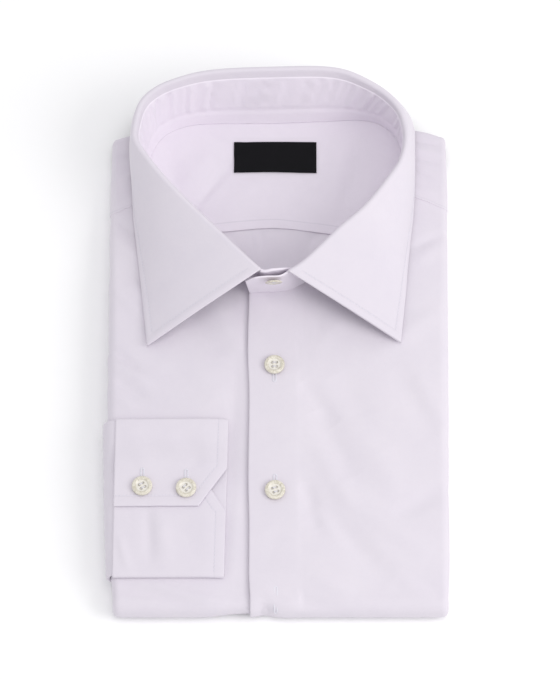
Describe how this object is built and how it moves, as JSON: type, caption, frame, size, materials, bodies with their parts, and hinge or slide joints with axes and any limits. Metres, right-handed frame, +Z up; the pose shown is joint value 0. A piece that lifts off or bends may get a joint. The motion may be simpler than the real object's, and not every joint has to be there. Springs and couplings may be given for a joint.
{
  "type": "folded poplin dress shirt",
  "caption": "Long-sleeved poplin dress shirt, buttoned and folded flat on its back, with its collar standing round an open neck and one cuff laid on the front.",
  "frame": {"origin": "middle of the folded shirt's footprint, on the table", "axes": "+Z up from the table, +Y from the bottom fold towards the back of the collar, +X to the side of the wearer's left front, which laps over the right"},
  "size_m": [0.2072, 0.3562, 0.0577],
  "materials": {
    "poplin": "crisp white cotton poplin with a faint lavender cast",
    "button_shell": "pearly shell",
    "label": "plain black woven tape"
  },
  "bodies": {
    "root": {"folded_layers": "poplin", "back": "poplin", "inner_yoke": "poplin", "label": "label", "yoke": "poplin", "right_front": "poplin", "left_front": "poplin", "collar_stand": "poplin", "collar_leaf": "poplin", "right_sleeve": "poplin", "right_cuff": "poplin", "front_button_1": "button_shell", "front_button_2": "button_shell", "cuff_button_1": "button_shell", "cuff_button_2": "button_shell", "collar_button": "button_shell"}
  },
  "joints": []
}
